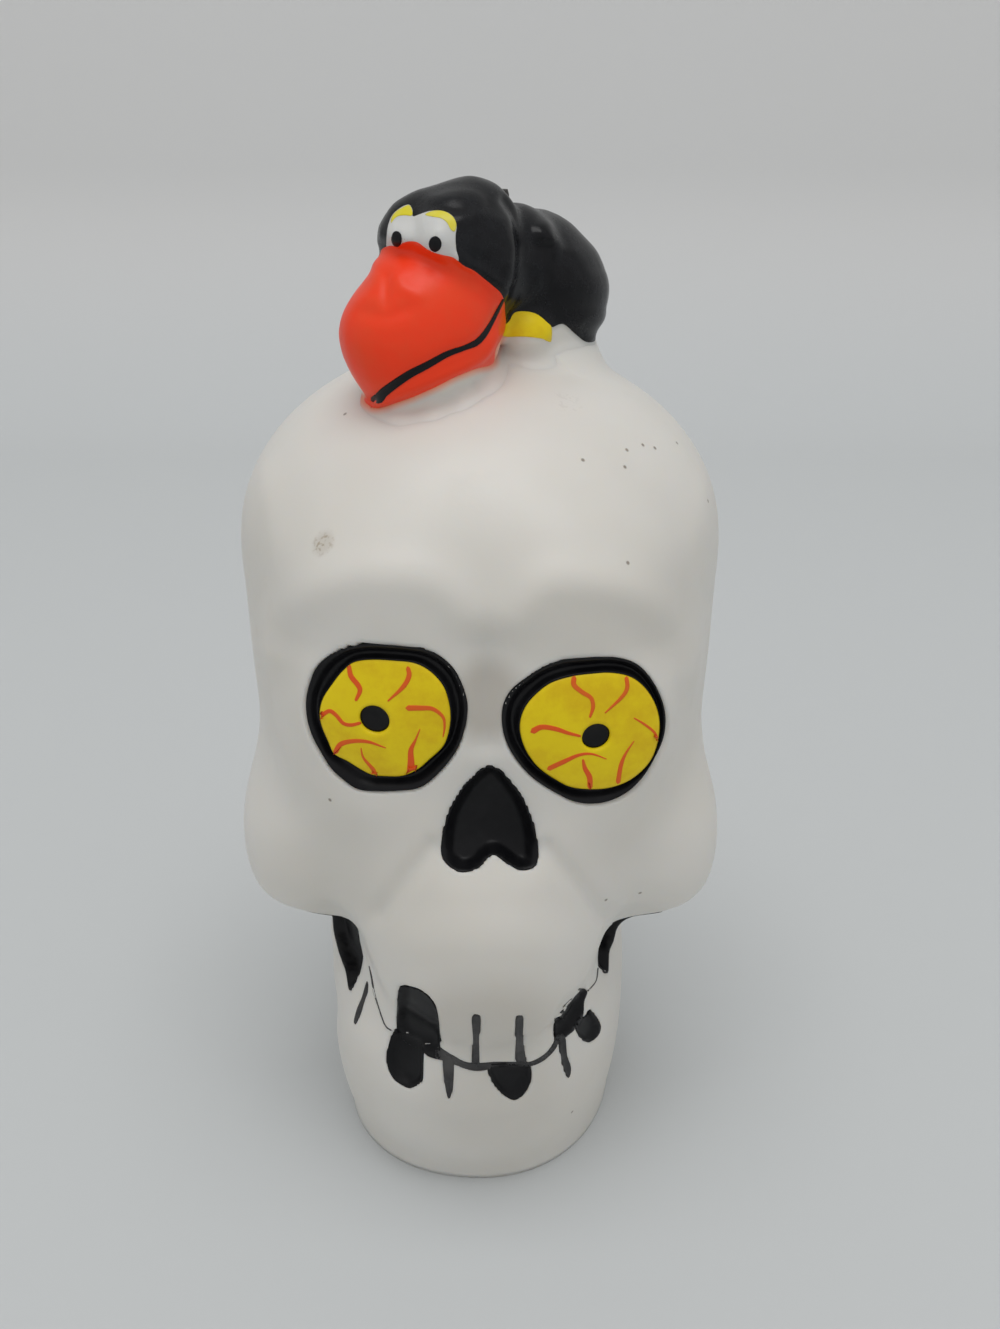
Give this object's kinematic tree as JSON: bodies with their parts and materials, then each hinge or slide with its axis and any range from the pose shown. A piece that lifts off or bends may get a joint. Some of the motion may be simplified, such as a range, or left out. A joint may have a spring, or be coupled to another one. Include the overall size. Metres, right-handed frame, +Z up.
{
  "type": "skull candle",
  "caption": "Figural wax candle: a white skull with bulging bloodshot eyes, and a large-beaked black crow lying across its top beside a short wick.",
  "frame": {"origin": "centre of the flat base that the candle stands on", "axes": "+Z up; the skull's face looks along -Y; +X is on the right for someone facing it"},
  "size_m": [0.0852, 0.0915, 0.1753],
  "materials": {
    "white_wax": "satin white wax",
    "yellow_wax": "glossy yellow paint over wax",
    "black_wax": "glossy black paint over wax",
    "orange_wax": "satin orange-red paint over wax",
    "wick_cotton": "waxed braided cotton, darkened",
    "sustainer_tin": "plain stamped sheet"
  },
  "bodies": {
    "root": {"bird_pupil_left": "black_wax", "bird_eyelid_left": "yellow_wax", "bird_pupil_right": "black_wax", "bird_eyelid_right": "yellow_wax", "bird_face": "white_wax", "bird_head": "black_wax", "bird_body": "black_wax", "bird_foot": "yellow_wax", "beak_upper": "orange_wax", "beak_lower": "orange_wax", "beak_mouth_line": "black_wax", "nose_cavity": "black_wax", "gap_upper_left": "black_wax", "gap_upper_right": "black_wax", "mouth_line": "black_wax", "gap_lower_left": "black_wax", "gap_lower_right": "black_wax", "gap_lower_middle": "black_wax", "slit_upper_left": "black_wax", "slit_upper_right": "black_wax", "slit_lower_left": "black_wax", "slit_lower_right": "black_wax", "jaw_shadow_left": "black_wax", "jaw_shadow_right": "black_wax", "jaw_crack_left": "black_wax", "eyeball_left": "yellow_wax", "eye_ring_left": "black_wax", "pupil_left": "black_wax", "eyeball_right": "yellow_wax", "eye_ring_right": "black_wax", "pupil_right": "black_wax", "skull_wax": "white_wax", "wick_sustainer": "sustainer_tin", "wick": "wick_cotton", "base_plug": "white_wax"}
  },
  "joints": []
}
